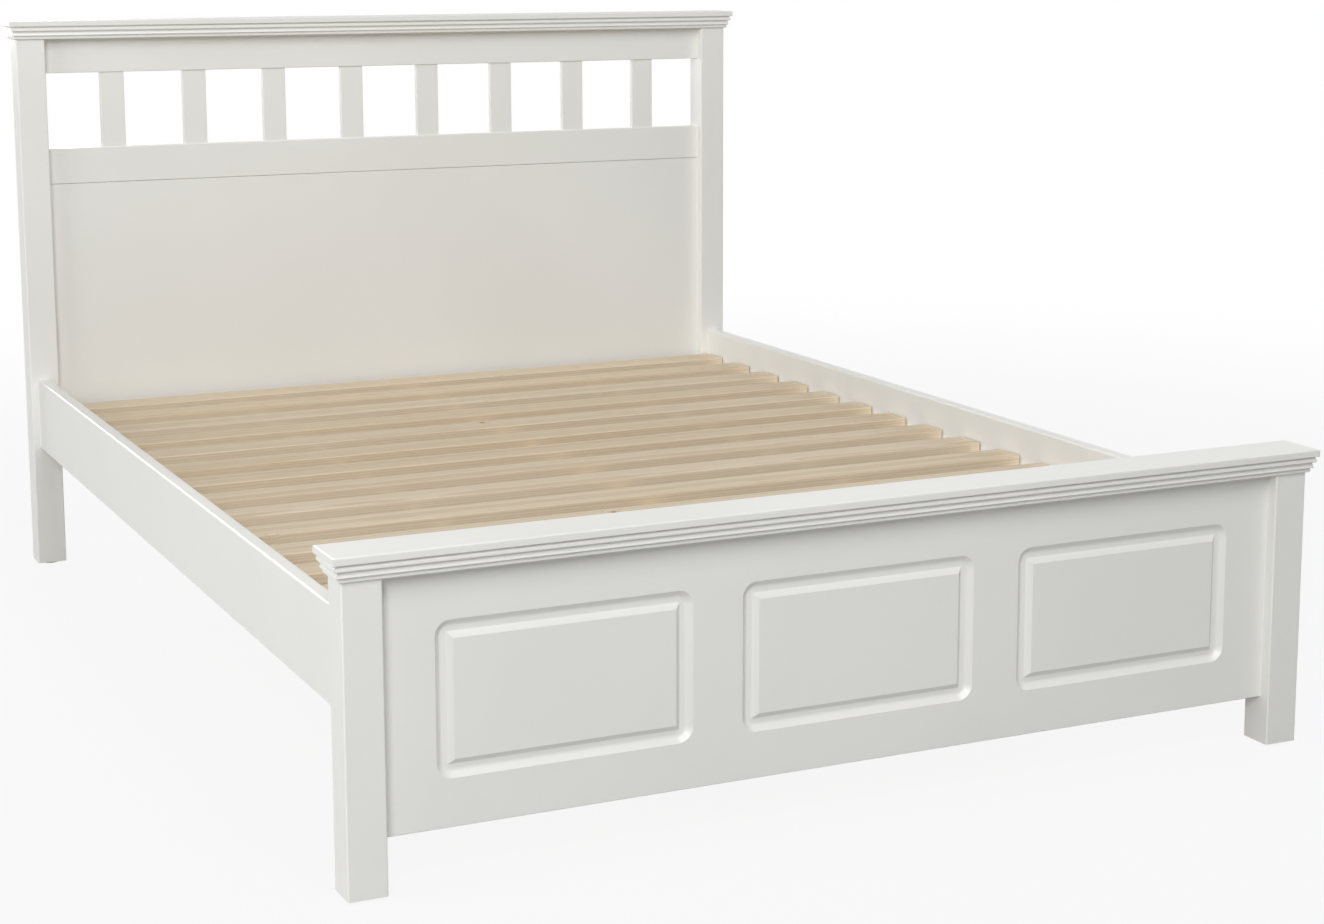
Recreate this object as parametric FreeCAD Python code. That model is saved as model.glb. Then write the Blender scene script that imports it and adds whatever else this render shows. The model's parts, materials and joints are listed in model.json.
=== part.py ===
import FreeCAD, Part
import os

# A double bed frame in painted wood: a low footboard, a tall spindle headboard, two side rails
# that hook into the posts, and a slatted deck on cleats with a centre rail and two legs.
# Millimetres. X runs across the bed, Y from the foot end to the head end, Z up from the floor.
# The origin is on the floor, under the middle of the bed.

Vector = FreeCAD.Vector

# The sleeping space sets the length and the width
mattress_width = 1500.0
mattress_length = 2000.0
mattress_side_gap = 16.0
mattress_end_gap = 7.0

# Posts
post_side = 58.0
post_arris = 2.5
head_post_top = 1097.0

# Glides nailed under the posts
glide_radius = 20.0
glide_height = 4.0
glide_edge = 1.0
glide_pin_radius = 2.5
glide_pin_length = 16.0

# Side rails
rail_thickness = 24.0
rail_height = 145.0
rail_bottom = 250.0
rail_below_cap = 55.0
rail_set_back = 15.0
rail_top_round = 4.0
rail_bottom_round = 2.0

# Moulded caps
cap_height = 38.0
cap_overhang = 15.0

# Boards between the posts, at the foot and at the head
board_thickness = 18.0
board_arris = 1.5
tongue_length = 12.0
tongue_thickness = 8.0
tongue_shoulder = 10.0

# Footboard and its routed fields
foot_panel_bottom = 80.0
field_count = 3
field_side_margin = 79.5
field_bottom_margin = 70.5
field_top_margin = 73.5
groove_width = 27.0
groove_depth = 8.0
groove_corner_radius = 23.0
groove_wall_width = 8.5
groove_cove_radius = 7.0
bevel_width = 8.5

# Headboard
mid_rail_height = 73.0
top_rail_height = 70.0
seam_gap = 0.8
seam_round = 0.8
tenon_length = 24.0
spindle_count = 8
spindle_width = 50.0
spindle_thickness = 12.0
spindle_length = 155.0
spindle_end_gap = 114.75
spindle_arris = 1.5
spindle_shoulder = 2.0
spindle_tenon_length = 15.0

# Slatted deck
slat_count = 15
slat_width = 70.0
slat_thickness = 20.0
slat_arris = 3.0
slat_side_gap = 3.0
slat_post_gap = 8.0
deck_depth = 55.0
strap_width = 25.0
strap_thickness = 1.5
strap_end_inset = 6.0
strap_station_share = 0.5
cleat_width = 25.0
cleat_height = 30.0
cleat_end_gap = 5.0
cleat_arris = 2.0

# Centre rail, its brackets and its legs
centre_rail_width = 32.0
centre_rail_height = 60.0
centre_rail_arris = 2.0
centre_rail_end_gap = 1.0
bracket_thickness = 2.5
bracket_flange = 22.0
bracket_reach = 40.0
bracket_lip = 10.0
bracket_side_gap = 0.5
bracket_bend = 1.5
leg_side = 45.0
leg_arris = 2.5
leg_station_share = 0.34

# Levelling feet
leveller_pad_radius = 22.0
leveller_pad_height = 10.0
leveller_pad_neck_share = 0.55
leveller_pad_rim_share = 0.4
leveller_stud_radius = 5.0
leveller_stud_seat = 6.0
leveller_collar_radius = 9.8
leveller_collar_height = 5.0
leveller_lift = 6.0
leveller_drop = 12.0
leveller_stop_gap = 1.0
leveller_grip = 10.0
leveller_insert_length = 20.0
insert_wall = 2.0

# Leg bolts
bolt_radius = 4.0
bolt_head_radius = 6.5
bolt_head_height = 8.0
bolt_length = 80.0
bolt_socket_radius = 3.5
bolt_socket_depth = 4.0
bolt_insert_length = 20.0

# Hook plates and slotted plates at the ends of the side rails
plate_width = 16.0
plate_height = 120.0
plate_thickness = 2.5
plate_screw_inset = 8.0
hook_thickness = 3.0
hook_neck = 16.0
hook_drop = 8.0
hook_reach = 8.0
hook_station_shares = (-0.283, 0.067)
slot_ease = 2.0
pocket_ease = 2.0

# Screws and dowels
screw_radius = 2.0
screw_head_radius = 3.8
screw_tip_length = 5.0
screw_tip_share = 0.2
screw_cross_share = 0.45
screw_cross_reach_share = 0.6
screw_cross_depth = 1.6
plate_screw_length = 30.0
cleat_screw_length = 38.0
slat_screw_length = 35.0
bracket_screw_length = 15.0
dowel_radius = 4.0
dowel_length = 38.0
dowel_chamfer = 1.0
post_dowel_inset = 17.0
board_dowel_shares = (-0.62, 0.0, 0.62)

# Clearances
joint_gap = 0.2
tenon_end_gap = 1.0
hole_gap = 0.05
hole_end_gap = 1.0
hook_gap = 0.3
overrun = 1.0

# Outline of a cap's edge, from the underside up: each row is a point as a share of the overhang
# and of the height, and where the stretch to it is round, a point on the arc as well
cap_start_shares = (0.14, 0.0)
cap_outline_shares = (
    ((0.32, 0.04), None),
    ((0.33, 0.12), None),
    ((0.29, 0.14), None),
    ((0.29, 0.185), None),
    ((0.53, 0.20), None),
    ((0.573, 0.226), None),
    ((0.44, 0.432), (0.487, 0.321)),
    ((0.747, 0.453), None),
    ((0.793, 0.479), None),
    ((0.78, 0.563), None),
    ((0.613, 0.684), (0.69, 0.621)),
    ((0.96, 0.70), None),
    ((1.0, 0.726), None),
    ((1.0, 0.9368), None),
    ((0.84, 1.0), (0.9531, 0.9815)),
)

# Places that follow from the sizes
rail_inner_x = mattress_width / 2 + mattress_side_gap
rail_outer_x = rail_inner_x + rail_thickness
rail_centre_x = (rail_inner_x + rail_outer_x) / 2
post_outer_x = rail_outer_x + rail_set_back
post_inner_x = post_outer_x - post_side
post_centre_x = (post_outer_x + post_inner_x) / 2
post_inner_y = mattress_length / 2 + mattress_end_gap
post_outer_y = post_inner_y + post_side
post_centre_y = (post_inner_y + post_outer_y) / 2
board_inner_y = post_centre_y - board_thickness / 2
board_outer_y = post_centre_y + board_thickness / 2
rail_top = rail_bottom + rail_height
rail_centre_z = (rail_bottom + rail_top) / 2
foot_post_top = rail_top + rail_below_cap
deck_top = rail_top - deck_depth
cleat_top = deck_top - slat_thickness
cleat_bottom = cleat_top - cleat_height
cleat_inner_x = rail_inner_x - cleat_width
cleat_centre_x = (cleat_inner_x + rail_inner_x) / 2
top_rail_bottom = head_post_top - top_rail_height
mid_rail_top = top_rail_bottom - spindle_length
mid_rail_bottom = mid_rail_top - mid_rail_height
head_panel_bottom = rail_bottom
head_panel_top = mid_rail_bottom - seam_gap
centre_rail_bottom = cleat_top - centre_rail_height
centre_rail_end = board_inner_y - bracket_thickness - centre_rail_end_gap
leg_bottom = leveller_pad_height + leveller_collar_height + leveller_lift + leveller_stop_gap
leg_y = leg_station_share * post_inner_y
screw_head_height = screw_head_radius - screw_radius
first_slat_y = -(post_inner_y - slat_post_gap - slat_width / 2)
slat_pitch = -2 * first_slat_y / (slat_count - 1)
spindle_first_x = -(post_inner_x - spindle_end_gap - spindle_width / 2)
spindle_pitch = -2 * spindle_first_x / (spindle_count - 1)

SIDES = {"left": -1, "right": 1}
ENDS = {"foot": -1, "head": 1}
AXIS_X = Vector(1, 0, 0)
AXIS_Y = Vector(0, 1, 0)
AXIS_Z = Vector(0, 0, 1)


# Helpers

def block(x, y, z):
    """A box between two values on each axis, given in either order."""
    low = Vector(min(x), min(y), min(z))
    high = Vector(max(x), max(y), max(z))
    return Part.makeBox(high.x - low.x, high.y - low.y, high.z - low.z, low)


def about(centre, width):
    """The two ends of a width that is centred on a value."""
    return centre - width / 2, centre + width / 2


def round_edges(solid, radius, axis, chosen=lambda middle: True):
    """Round the straight edges that run along an axis, or those of them that are chosen."""
    edges = []
    for edge in solid.Edges:
        if not isinstance(edge.Curve, Part.Line):
            continue
        if abs(edge.tangentAt(edge.FirstParameter).dot(axis)) < 0.999:
            continue
        if chosen(edge.CenterOfMass):
            edges.append(edge)
    return solid.makeFillet(radius, edges)


def pointed(shape, point, direction):
    """Move a shape that was made at the origin, pointing down, to a point and a direction."""
    moved = shape.copy()
    moved.Placement = FreeCAD.Placement(point, FreeCAD.Rotation(-AXIS_Z, direction))
    return moved


def turned(shape, x, y, z, end):
    """Move a shape that was made for the head end to a place, turned round at the foot end."""
    angle = 0 if end > 0 else 180
    moved = shape.copy()
    moved.Placement = FreeCAD.Placement(Vector(x, y, z), FreeCAD.Rotation(AXIS_Z, angle))
    return moved


# Screws and dowels

def wood_screw(length):
    """A countersunk screw that points down, its head's top at the origin."""
    shank_length = length - screw_head_height - screw_tip_length
    head = Part.makeCone(screw_radius, screw_head_radius, screw_head_height, Vector(0, 0, -screw_head_height))
    shank = Part.makeCylinder(screw_radius, shank_length, Vector(0, 0, -screw_head_height - shank_length))
    tip = Part.makeCone(screw_radius * screw_tip_share, screw_radius, screw_tip_length,
                        Vector(0, 0, -length))
    half_bar = screw_head_radius * screw_cross_reach_share
    half_width = screw_radius * screw_cross_share / 2
    drive = (-screw_cross_depth, overrun)
    bar_x = block((-half_bar, half_bar), (-half_width, half_width), drive)
    bar_y = block((-half_width, half_width), (-half_bar, half_bar), drive)
    return head.fuse([shank, tip]).cut([bar_x, bar_y]).removeSplitter()


def screw_hole(length):
    """The countersunk hole for a screw, a little wider and deeper than the screw is."""
    head = Part.makeCone(screw_radius + hole_gap, screw_head_radius + hole_gap, screw_head_height,
                         Vector(0, 0, -screw_head_height))
    mouth = Part.makeCylinder(screw_head_radius + hole_gap, overrun)
    depth = length + hole_end_gap
    shank = Part.makeCylinder(screw_radius + hole_gap, depth, Vector(0, 0, -depth))
    return head.fuse([mouth, shank])


def plate_screw_heights(count):
    """Heights of a plate's screws: one near each end, and the middle one where there are three."""
    reach = plate_height / 2 - plate_screw_inset
    heights = [-reach, reach]
    if count > 2:
        heights.append(0)
    return [rail_centre_z + height for height in heights]


def plate_screw_places(side, end):
    """Points and directions of the screws of one corner's two plates, rail plate first."""
    y = end * post_inner_y
    places = []
    for z in plate_screw_heights(3):
        places.append((Vector(side * rail_centre_x, y, z), Vector(0, -end, 0)))
    for z in plate_screw_heights(2):
        places.append((Vector(side * rail_centre_x, y, z), Vector(0, end, 0)))
    return places


def slat_places():
    """Middle of each slat along the bed."""
    return [first_slat_y + slat_pitch * index for index in range(slat_count)]


def cleat_screw_places(side):
    """Points and directions of a cleat's screws: in every other gap between the slats."""
    gaps = [y + slat_pitch / 2 for y in slat_places()[:-1]]
    z = (cleat_top + cleat_bottom) / 2
    return [(Vector(side * cleat_inner_x, y, z), Vector(side, 0, 0)) for y in gaps[::2]]


def slat_screw_places(y):
    """Points and directions of the two screws of the slat at y."""
    return [(Vector(side * cleat_centre_x, y, deck_top), -AXIS_Z) for side in SIDES.values()]


def bracket_screw_places(end):
    """Points and directions of the four screws of the bracket at one end."""
    y = end * (board_inner_y - bracket_thickness)
    x = bracket_inner_half() + bracket_thickness + bracket_flange / 2
    low, high = bracket_heights()
    places = []
    for z in (low + bracket_lip, high - bracket_lip):
        for side in SIDES.values():
            places.append((Vector(side * x, y, z), Vector(0, end, 0)))
    return places


def screws(length, places):
    """One screw at each place, as separate solids."""
    screw = wood_screw(length)
    return [pointed(screw, point, direction) for point, direction in places]


def screw_holes(length, places):
    """One hole at each place."""
    hole = screw_hole(length)
    return [pointed(hole, point, direction) for point, direction in places]


def dowel_places(end):
    """Points at the cap's underside where one end's dowels stand."""
    top = foot_post_top if end < 0 else head_post_top
    y = end * post_centre_y
    post_x = post_outer_x - post_dowel_inset
    xs = [-post_x, post_x] + [share * post_inner_x for share in board_dowel_shares]
    return [Vector(x, y, top) for x in xs]


def dowel(point):
    """A dowel whose middle is at the point, with chamfered ends."""
    body = Part.makeCylinder(dowel_radius, dowel_length, point - AXIS_Z * (dowel_length / 2))
    rims = [edge for edge in body.Edges if isinstance(edge.Curve, Part.Circle)]
    return body.makeChamfer(dowel_chamfer, rims)


def dowel_hole(point):
    """The hole for a dowel, on both sides of the joint."""
    depth = dowel_length + 2 * hole_end_gap
    return Part.makeCylinder(dowel_radius + hole_gap, depth, point - AXIS_Z * (depth / 2))


# Hook plates

def hook_heights():
    """Lowest point of each hook's neck above the middle of its plate."""
    return [plate_height * share for share in hook_station_shares]


def hook_plate():
    """Plate let into a rail's end, with two hooks, made for the head end at the origin."""
    plate = block(about(0, plate_width), (-plate_thickness, 0), about(0, plate_height))
    x = about(0, hook_thickness)
    hooks = []
    for z in hook_heights():
        hooks.append(block(x, (-plate_thickness, hook_reach), (z, z + hook_neck)))
        hooks.append(block(x, (plate_thickness + hook_gap, hook_reach), (z - hook_drop, z)))
    return plate.fuse(hooks).removeSplitter()


def slot_plate():
    """Plate let into a post, with a slot for each hook, made for the head end at the origin."""
    plate = block(about(0, plate_width), (0, plate_thickness), about(0, plate_height))
    slots = []
    for z in hook_heights():
        slots.append(block(about(0, hook_thickness + 2 * hook_gap),
                           (-overrun, plate_thickness + overrun),
                           (z, z + hook_neck + hook_drop + slot_ease)))
    return plate.cut(slots)


def plate_seat(inward):
    """The recess for either plate, on the rail's side or the post's side of the joint."""
    y = (overrun, -plate_thickness) if inward else (-overrun, plate_thickness)
    return block(about(0, plate_width + 2 * joint_gap), y, about(0, plate_height + 2 * joint_gap))


def hook_pocket():
    """The pocket in a post behind the slotted plate, where the hooks hang."""
    heights = hook_heights()
    low = min(heights) - hook_drop - pocket_ease
    high = max(heights) + hook_neck + hook_drop + slot_ease
    return block(about(0, hook_thickness + 2 * pocket_ease),
                 (0, hook_reach + pocket_ease), (low, high))


def corner(shape, side, end):
    """Set a plate, seat or pocket at the joint of one side rail and one post."""
    return turned(shape, side * rail_centre_x, end * post_inner_y, rail_centre_z, end)


def drilled_corner(shape, side, end):
    """A plate at its corner, with the holes of that corner's plate screws."""
    holes = screw_holes(plate_screw_length, plate_screw_places(side, end))
    return corner(shape, side, end).cut(holes)


# Posts, caps and glides

def end_of_board(side, low, high, length, thickness, gap):
    """A tongue or tenon from a board's end into a post, or with a gap the slot for it."""
    x = (side * (post_inner_x - overrun * (gap > 0)), side * (post_inner_x + length))
    return x, about(post_centre_y, thickness + 2 * gap), (low - gap, high + gap)


def tongue(side, end, low, high, gap=0):
    """Tongue of a panel that stands between two heights, or its groove in the post."""
    x, y, z = end_of_board(side, low + tongue_shoulder, high - tongue_shoulder,
                           tongue_length + tenon_end_gap * (gap > 0), tongue_thickness, gap)
    return block(x, (end * y[0], end * y[1]), z)


def tenon(side, low, high, gap=0):
    """Tenon of a headboard rail between two heights, or its mortise in the post."""
    return block(*end_of_board(side, low + tongue_shoulder, high - tongue_shoulder,
                               tenon_length + tenon_end_gap * (gap > 0), tongue_thickness, gap))


def post(side, end):
    """One post, with the seats of the plates, the boards, the glide and the cap's dowel."""
    top = foot_post_top if end < 0 else head_post_top
    body = block((side * post_inner_x, side * post_outer_x), (end * post_inner_y, end * post_outer_y),
                 (glide_height, top))
    body = round_edges(body, post_arris, AXIS_Z)
    cuts = [corner(plate_seat(False), side, end), corner(hook_pocket(), side, end)]
    cuts += screw_holes(plate_screw_length, plate_screw_places(side, end)[3:])
    cuts += [dowel_hole(point) for point in dowel_places(end)[:2] if point.x * side > 0]
    cuts.append(glide_pin(side, end, hole_gap, hole_end_gap))
    if end < 0:
        cuts.append(tongue(side, end, foot_panel_bottom, foot_post_top, joint_gap))
    else:
        cuts.append(tongue(side, end, head_panel_bottom, head_panel_top, joint_gap))
        cuts.append(tenon(side, mid_rail_bottom, mid_rail_top, joint_gap))
        cuts.append(tenon(side, top_rail_bottom, head_post_top, joint_gap))
    return body.cut(cuts)


def glide_pin(side, end, gap=0, end_gap=0):
    """The pin of a glide, or with gaps the hole for it."""
    base = Vector(side * post_centre_x, end * post_centre_y, glide_height)
    return Part.makeCylinder(glide_pin_radius + gap, glide_pin_length + end_gap, base)


def glide(side, end):
    """A round glide with its pin, its lower rim eased."""
    base = Vector(side * post_centre_x, end * post_centre_y, 0)
    disc = Part.makeCylinder(glide_radius, glide_height, base)
    rim = [edge for edge in disc.Edges
           if isinstance(edge.Curve, Part.Circle) and edge.CenterOfMass.z < glide_height / 2]
    return disc.makeChamfer(glide_edge, rim).fuse(glide_pin(side, end))


def cap_face(half_width, centre, base, place):
    """The cap's section about a centre: the outline on both sides of a part that is half_width."""
    def point(shares, sign):
        across = centre + sign * (half_width + shares[0] * cap_overhang)
        return place(across, base + shares[1] * cap_height)

    edges = []
    for sign in (-1, 1):
        last = point(cap_start_shares, sign)
        for shares, round_shares in cap_outline_shares:
            here = point(shares, sign)
            if round_shares is None:
                edges.append(Part.LineSegment(last, here).toShape())
            else:
                edges.append(Part.Arc(last, point(round_shares, sign), here).toShape())
            last = here
    top_shares = cap_outline_shares[-1][0]
    edges.append(Part.LineSegment(point(top_shares, -1), point(top_shares, 1)).toShape())
    edges.append(Part.LineSegment(point(cap_start_shares, -1), point(cap_start_shares, 1)).toShape())
    return Part.Face(Part.Wire(Part.sortEdges(edges)[0]))


def cap_plan(points, base):
    """The room over a cap's outline in plan, a little lower and higher than the cap."""
    corners = [Vector(x, y, base - overrun) for x, y in points]
    return Part.Face(Part.makePolygon(corners + corners[:1])).extrude(AXIS_Z * (cap_height + 2 * overrun))


def cap(end):
    """A cap: one long moulding and a short one across each end, mitred at the four corners."""
    base = foot_post_top if end < 0 else head_post_top
    centre_y = end * post_centre_y
    mitre_x = post_outer_x - post_side / 2
    reach = post_side / 2 + cap_overhang + overrun
    far_x = mitre_x + reach
    near_y, far_y = centre_y - reach, centre_y + reach
    along = cap_face(post_side / 2, centre_y, base, lambda y, z: Vector(-far_x, y, z))
    along = along.extrude(AXIS_X * (2 * far_x))
    across = cap_face(post_outer_x, 0, base, lambda x, z: Vector(x, near_y, z))
    across = across.extrude(AXIS_Y * (2 * reach))
    middle = along.common(cap_plan([(-far_x, near_y), (far_x, near_y), (mitre_x, centre_y),
                                    (far_x, far_y), (-far_x, far_y), (-mitre_x, centre_y)], base))
    ends = [across.common(cap_plan([(side * mitre_x, centre_y), (side * far_x, near_y),
                                    (side * far_x, far_y)], base)) for side in SIDES.values()]
    moulding = middle.fuse(ends).removeSplitter()
    return moulding.cut([dowel_hole(point) for point in dowel_places(end)])


# Footboard

def field_spans():
    """Left and right edge of each routed field."""
    width = (2 * post_inner_x - (field_count + 1) * field_side_margin) / field_count
    lefts = [-post_inner_x + field_side_margin + index * (width + field_side_margin)
             for index in range(field_count)]
    return [(left, left + width) for left in lefts]


def field_outline(span, inset, y, corner_radius=0):
    """A rectangle inside a field, inset all round, as a closed wire at y."""
    left, right = span[0] + inset, span[1] - inset
    low = foot_panel_bottom + field_bottom_margin + inset
    high = foot_post_top - field_top_margin - inset
    plate = block((left, right), (y, y + overrun), (low, high))
    if corner_radius:
        plate = round_edges(plate, corner_radius, AXIS_Y)
    return min(plate.Faces, key=lambda face: face.CenterOfMass.y).OuterWire


def field_groove(span):
    """The groove round a field: a pocket with sloped walls that run out in a cove, less the field."""
    front = -board_outer_y
    floor = front + groove_depth
    mouth = field_outline(span, 0, front, groove_corner_radius)
    base = field_outline(span, groove_wall_width, floor, groove_corner_radius - groove_wall_width)
    pocket = Part.makeLoft([mouth, base], True, True)
    rim = [edge for edge in pocket.Edges
           if abs(edge.CenterOfMass.y - floor) < hole_gap and edge.BoundBox.YLength < hole_gap]
    pocket = pocket.makeFillet(groove_cove_radius, rim)
    field = field_outline(span, groove_width, front)
    field_base = field_outline(span, groove_width - bevel_width, floor)
    return pocket.cut(Part.makeLoft([field_base, field], True, True))


def foot_panel():
    """The footboard's panel with its routed fields and its end tongues."""
    board = block((-post_inner_x, post_inner_x), (-board_outer_y, -board_inner_y),
                  (foot_panel_bottom, foot_post_top))
    board = round_edges(board, board_arris, AXIS_X, lambda middle: middle.z < foot_post_top - overrun)
    tongues = [tongue(side, -1, foot_panel_bottom, foot_post_top) for side in SIDES.values()]
    cuts = [field_groove(span) for span in field_spans()]
    cuts += [dowel_hole(point) for point in dowel_places(-1)[2:]]
    cuts += screw_holes(bracket_screw_length, bracket_screw_places(-1))
    return board.fuse(tongues).cut(cuts).removeSplitter()


# Headboard

def spindle_places():
    """Middle of each spindle across the bed."""
    return [spindle_first_x + spindle_pitch * index for index in range(spindle_count)]


def spindle_tenon(x, low, high, gap=0):
    """A spindle's tenon between two heights, or with a gap its mortise."""
    return block(about(x, spindle_width - 2 * spindle_shoulder + 2 * gap),
                 about(post_centre_y, spindle_thickness - 2 * spindle_shoulder + 2 * gap), (low, high))


def spindle(x):
    """A flat spindle with a tenon at each end."""
    body = block(about(x, spindle_width), about(post_centre_y, spindle_thickness),
                 (mid_rail_top, top_rail_bottom))
    body = round_edges(body, spindle_arris, AXIS_Z)
    lower = spindle_tenon(x, mid_rail_top - spindle_tenon_length, mid_rail_top)
    upper = spindle_tenon(x, top_rail_bottom, top_rail_bottom + spindle_tenon_length)
    return body.fuse([lower, upper])


def head_board(low, high):
    """A plain board of the headboard between two heights, before its edges are worked."""
    return block((-post_inner_x, post_inner_x), (board_inner_y, board_outer_y), (low, high))


def panel_tongue(gap=0):
    """The tongue along the lower panel's top, or its groove in the middle rail."""
    reach = post_inner_x - tongue_shoulder + gap
    high = mid_rail_bottom + tongue_length + tenon_end_gap * (gap > 0)
    return block((-reach, reach), about(post_centre_y, tongue_thickness + 2 * gap),
                 (head_panel_top - overrun * (gap > 0), high))


def head_top_rail():
    """The headboard's top rail, under the cap."""
    board = head_board(top_rail_bottom, head_post_top)
    board = round_edges(board, board_arris, AXIS_X, lambda middle: middle.z < head_post_top - overrun)
    tenons = [tenon(side, top_rail_bottom, head_post_top) for side in SIDES.values()]
    high = top_rail_bottom + spindle_tenon_length + tenon_end_gap
    cuts = [spindle_tenon(x, top_rail_bottom - overrun, high, joint_gap) for x in spindle_places()]
    cuts += [dowel_hole(point) for point in dowel_places(1)[2:]]
    return board.fuse(tenons).cut(cuts).removeSplitter()


def head_mid_rail():
    """The middle rail: spindles stand in its top and the lower panel's tongue is in its underside."""
    board = head_board(mid_rail_bottom, mid_rail_top)
    board = round_edges(board, board_arris, AXIS_X, lambda middle: middle.z > mid_rail_top - overrun)
    board = round_edges(board, seam_round, AXIS_X, lambda middle: middle.z < mid_rail_bottom + overrun)
    tenons = [tenon(side, mid_rail_bottom, mid_rail_top) for side in SIDES.values()]
    low = mid_rail_top - spindle_tenon_length - tenon_end_gap
    cuts = [spindle_tenon(x, low, mid_rail_top + overrun, joint_gap) for x in spindle_places()]
    cuts.append(panel_tongue(joint_gap))
    return board.fuse(tenons).cut(cuts).removeSplitter()


def head_panel():
    """The headboard's lower panel, tongued into the middle rail and the posts."""
    board = head_board(head_panel_bottom, head_panel_top)
    board = round_edges(board, seam_round, AXIS_X, lambda middle: middle.z > head_panel_top - overrun)
    board = round_edges(board, board_arris, AXIS_X, lambda middle: middle.z < head_panel_bottom + overrun)
    tongues = [tongue(side, 1, head_panel_bottom, head_panel_top) for side in SIDES.values()]
    holes = screw_holes(bracket_screw_length, bracket_screw_places(1))
    return board.fuse(tongues + [panel_tongue()]).cut(holes).removeSplitter()


# Side rails and cleats

def side_rail(side):
    """A side rail with rounded edges, the seats of its hook plates and the cleat's screw holes."""
    body = block((side * rail_inner_x, side * rail_outer_x), (-post_inner_y, post_inner_y),
                 (rail_bottom, rail_top))
    body = round_edges(body, rail_top_round, AXIS_Y, lambda middle: middle.z > rail_centre_z)
    body = round_edges(body, rail_bottom_round, AXIS_Y,
                       lambda middle: middle.z < rail_bottom + overrun)
    cuts = screw_holes(cleat_screw_length, cleat_screw_places(side))
    for end in ENDS.values():
        cuts.append(corner(plate_seat(True), side, end))
        cuts += screw_holes(plate_screw_length, plate_screw_places(side, end)[:3])
    return body.cut(cuts)


def cleat(side):
    """The cleat inside a side rail that carries the slats' ends."""
    reach = post_inner_y - cleat_end_gap
    body = block((side * cleat_inner_x, side * rail_inner_x), (-reach, reach),
                 (cleat_bottom, cleat_top))
    body = round_edges(body, cleat_arris, AXIS_Y,
                       lambda middle: abs(middle.x) < rail_inner_x - cleat_width / 2)
    cuts = screw_holes(cleat_screw_length, cleat_screw_places(side))
    for y in slat_places():
        cuts += screw_holes(slat_screw_length, slat_screw_places(y))
    return body.cut(cuts)


# Slats and straps

def slat(y):
    """One slat, screwed down at both ends."""
    reach = rail_inner_x - slat_side_gap
    body = block((-reach, reach), about(y, slat_width), (cleat_top, deck_top))
    body = round_edges(body, slat_arris, AXIS_X)
    return body.cut(screw_holes(slat_screw_length, slat_screw_places(y)))


def slat_strap(side):
    """A webbing strap that runs along the undersides of the slats and keeps them spaced."""
    x = side * strap_station_share * rail_inner_x
    reach = -first_slat_y + slat_width / 2 - strap_end_inset
    return block(about(x, strap_width), (-reach, reach), (cleat_top - strap_thickness, cleat_top))


# Centre rail, brackets and legs

def centre_rail():
    """The rail under the middle of the slats, bored for the leg bolts."""
    body = block(about(0, centre_rail_width), (-centre_rail_end, centre_rail_end),
                 (centre_rail_bottom, cleat_top))
    body = round_edges(body, centre_rail_arris, AXIS_Y)
    return body.cut([leg_bolt_hole(end) for end in ENDS.values()])


def bracket_inner_half():
    """Half the width between a bracket's cheeks."""
    return centre_rail_width / 2 + bracket_side_gap


def bracket_heights():
    """Lowest and highest point of a bracket's back plate."""
    return centre_rail_bottom - bracket_thickness, cleat_top - bracket_thickness


def centre_bracket(end):
    """A steel stirrup screwed to the end board, in which the centre rail's end lies."""
    inner = bracket_inner_half()
    outer = inner + bracket_thickness
    low, high = bracket_heights()
    back = (end * (board_inner_y - bracket_thickness), end * board_inner_y)
    reach = (end * (board_inner_y - bracket_reach), end * board_inner_y)
    plate = block((-outer - bracket_flange, outer + bracket_flange), back, (low, high))
    plate = round_edges(plate, bracket_bend * 2, AXIS_Y)
    ledge = block((-outer, outer), reach, (low, low + bracket_thickness))
    cheeks = [block((side * inner, side * outer), reach, (low, high - bracket_lip))
              for side in SIDES.values()]
    stirrup = plate.fuse([ledge] + cheeks).removeSplitter()
    free_y = end * (board_inner_y - bracket_reach)
    stirrup = round_edges(stirrup, bracket_bend, AXIS_Y,
                          lambda middle: abs(abs(middle.x) - outer) < hole_gap
                          and middle.z < low + bracket_thickness)
    stirrup = round_edges(stirrup, bracket_bend * 2, AXIS_X,
                          lambda middle: abs(middle.y - free_y) < hole_gap
                          and middle.z > high - bracket_lip - hole_gap)
    return stirrup.cut(screw_holes(bracket_screw_length, bracket_screw_places(end)))


def leg_bolt(end):
    """Socket-head bolt, down through the centre rail into the top of a leg."""
    top = Vector(0, end * leg_y, cleat_top)
    head = Part.makeCylinder(bolt_head_radius, bolt_head_height, top, -AXIS_Z)
    shank = Part.makeCylinder(bolt_radius, bolt_length, top - AXIS_Z * bolt_head_height, -AXIS_Z)
    socket = hexagon(bolt_socket_radius, top - AXIS_Z * bolt_socket_depth,
                     bolt_socket_depth + overrun)
    return head.fuse(shank).cut(socket)


def leg_bolt_hole(end):
    """The bore for a leg bolt, through the rail and on into the leg."""
    top = Vector(0, end * leg_y, cleat_top + overrun)
    head = Part.makeCylinder(bolt_head_radius + joint_gap, bolt_head_height + overrun, top, -AXIS_Z)
    depth = bolt_head_height + bolt_length + hole_end_gap + overrun
    return head.fuse(Part.makeCylinder(bolt_radius + hole_gap, depth, top, -AXIS_Z))


def hexagon(radius, base, height):
    """An upright prism with six sides, its corners at the radius."""
    corners = [base + FreeCAD.Rotation(AXIS_Z, 60 * index).multVec(Vector(radius, 0, 0))
               for index in range(6)]
    return Part.Face(Part.makePolygon(corners + corners[:1])).extrude(AXIS_Z * height)


def insert(end, bore_radius, low, length):
    """A threaded insert in a leg, as a plain tube."""
    base = Vector(0, end * leg_y, low)
    outer = Part.makeCylinder(bore_radius + hole_gap + insert_wall, length, base)
    return outer.cut(Part.makeCylinder(bore_radius + hole_gap, length, base))


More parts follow.
